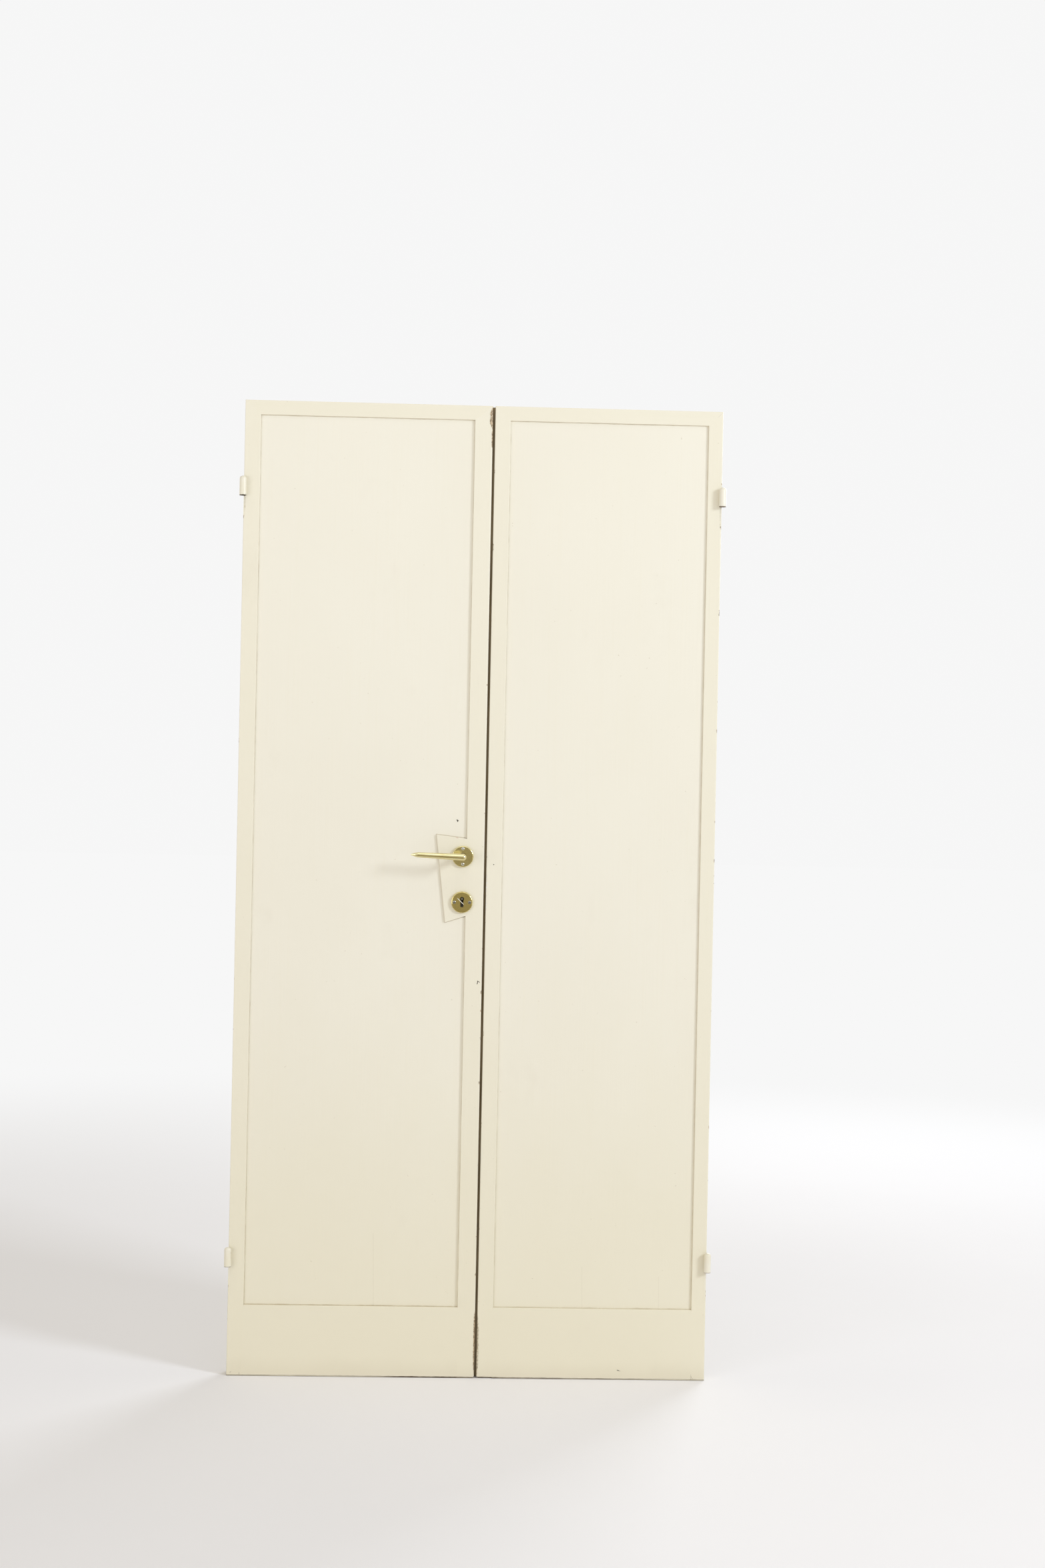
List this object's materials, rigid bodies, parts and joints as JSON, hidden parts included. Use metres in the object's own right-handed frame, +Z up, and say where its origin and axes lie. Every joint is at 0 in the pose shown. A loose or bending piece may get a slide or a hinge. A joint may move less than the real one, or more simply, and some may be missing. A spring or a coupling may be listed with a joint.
{
  "type": "pair of panelled french doors",
  "caption": "Flat painted double doors with recessed panels, rebated meeting stiles, lift-off hinge halves, a mortise lock with lever and key escutcheon, and flush bolts.",
  "frame": {"origin": "middle of the closed pair's width and thickness, on the leaves' bottom edge", "axes": "+X along the closed pair to the right as seen from the lever's front face, +Y from that front to the back, +Z up"},
  "size_m": [1.0195, 0.1584, 2.04],
  "materials": {
    "cream_paint": "old cream oil paint, semi-gloss, chipped to bare brown wood at the meeting edges",
    "painted_hinge": "steel painted over in the leaf's cream, dark at the open lower end",
    "brass": "polished, a little tarnished",
    "lock_steel": "dull plain steel",
    "screw_steel": "bright steel"
  },
  "bodies": {
    "passive_leaf": {"passive_hinge_stile": "cream_paint", "passive_meeting_stile": "cream_paint", "passive_top_rail": "cream_paint", "passive_bottom_rail": "cream_paint", "passive_panel": "cream_paint", "passive_upper_hinge": "painted_hinge", "passive_lower_hinge": "painted_hinge", "passive_hinge_screws": "screw_steel", "strike_plate": "lock_steel", "strike_screws": "screw_steel", "top_bolt_plate": "lock_steel", "bottom_bolt_plate": "lock_steel", "bolt_plate_screws": "screw_steel"},
    "active_leaf": {"active_hinge_stile": "cream_paint", "active_lock_stile": "cream_paint", "active_top_rail": "cream_paint", "active_bottom_rail": "cream_paint", "active_panel": "cream_paint", "front_lock_block": "cream_paint", "rear_lock_block": "cream_paint", "active_upper_hinge": "painted_hinge", "active_lower_hinge": "painted_hinge", "active_hinge_screws": "screw_steel", "lock_case": "lock_steel", "lock_cover": "lock_steel", "lock_forend": "lock_steel", "forend_screws": "screw_steel", "latch_spring": "lock_steel", "front_handle_rose": "brass", "rear_handle_rose": "brass", "key_escutcheon": "brass", "front_rose_screws": "screw_steel", "rear_rose_screws": "screw_steel"},
    "handle": {"front_lever": "brass", "rear_lever": "brass", "spindle": "lock_steel", "lock_follower": "lock_steel", "lever_set_screws": "screw_steel"},
    "latch": {"latch_bolt": "lock_steel"},
    "dead_bolt": {"dead_bolt": "lock_steel"},
    "top_bolt": {"top_flush_bolt": "lock_steel"},
    "bottom_bolt": {"bottom_flush_bolt": "lock_steel"}
  },
  "joints": [
    {"name": "active_leaf_swing", "type": "hinge", "parent": "passive_leaf", "child": "active_leaf", "pos_m": [-0.5025, -0.0276, 1], "axis": [0, 0, -1], "range_deg": [0, 165]},
    {"name": "handle_turn", "type": "hinge", "parent": "active_leaf", "child": "handle", "pos_m": [-0.0285, 0.006, 1.094], "axis": [0, -1, 0], "range_deg": [0, 40], "stiffness_Nm_per_rad": 0.7, "springref_deg": -25.78},
    {"name": "latch_slide", "type": "slide", "parent": "active_leaf", "child": "latch", "axis": [-1, 0, 0], "range_m": [0, 0.0105], "deforming": ["latch_spring"]},
    {"name": "dead_bolt_throw", "type": "slide", "parent": "active_leaf", "child": "dead_bolt", "axis": [1, 0, 0], "range_m": [0, 0.012]},
    {"name": "top_bolt_slide", "type": "slide", "parent": "passive_leaf", "child": "top_bolt", "axis": [0, 0, 1], "range_m": [0, 0.018]},
    {"name": "bottom_bolt_slide", "type": "slide", "parent": "passive_leaf", "child": "bottom_bolt", "axis": [0, 0, -1], "range_m": [0, 0.018]}
  ],
  "couplings": [
    {"joint": "latch_slide", "follows": "handle_turn", "m_per_rad": 0.0143}
  ]
}
